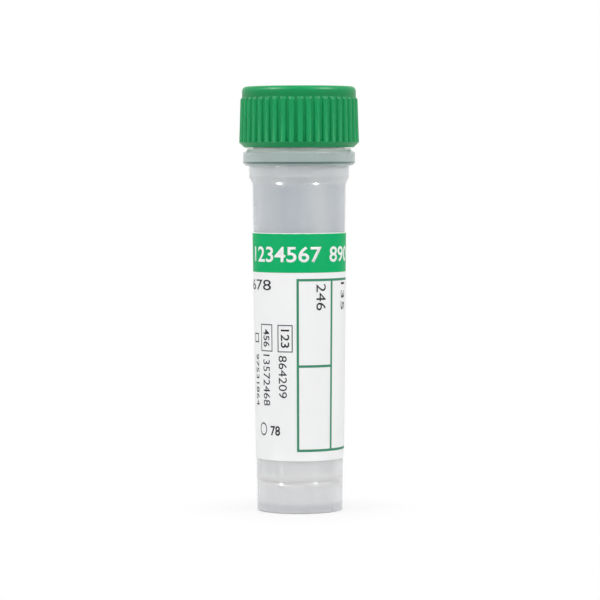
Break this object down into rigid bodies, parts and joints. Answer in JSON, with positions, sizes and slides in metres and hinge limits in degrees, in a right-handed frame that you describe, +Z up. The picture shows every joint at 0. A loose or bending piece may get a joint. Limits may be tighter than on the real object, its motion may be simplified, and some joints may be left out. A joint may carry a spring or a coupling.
{
  "type": "blood collection tube",
  "caption": "Small self-standing blood collection tube with a ribbed screw cap, hollow skirt and wrap label.",
  "frame": {"origin": "centre of the rim that the tube stands on, on its axis", "axes": "+Z up along the tube's axis, through the cap; -Y is the front, where the label's form begins; +X to the right"},
  "size_m": [0.013, 0.013, 0.0457],
  "materials": {
    "translucent_tube": "satin",
    "green_cap": "satin",
    "seal_rubber": "matte",
    "label_paper": "satin",
    "green_ink": "satin"
  },
  "bodies": {
    "tube_body": {"tube": "translucent_tube", "label": "label_paper", "label_print": "green_ink"},
    "seal": {"seal_ring": "seal_rubber"},
    "cap": {"screw_cap": "green_cap"}
  },
  "joints": [
    {"name": "cap_lift", "type": "slide", "parent": "tube_body", "child": "seal", "axis": [0, 0, 1], "range_m": [0, 0.006]},
    {"name": "cap_turn", "type": "hinge", "parent": "seal", "child": "cap", "pos_m": [0, 0, 0.03915], "axis": [0, 0, 1], "range_deg": [0, 1080]}
  ],
  "couplings": [
    {"joint": "cap_turn", "follows": "cap_lift", "rad_per_m": 3141.6}
  ]
}
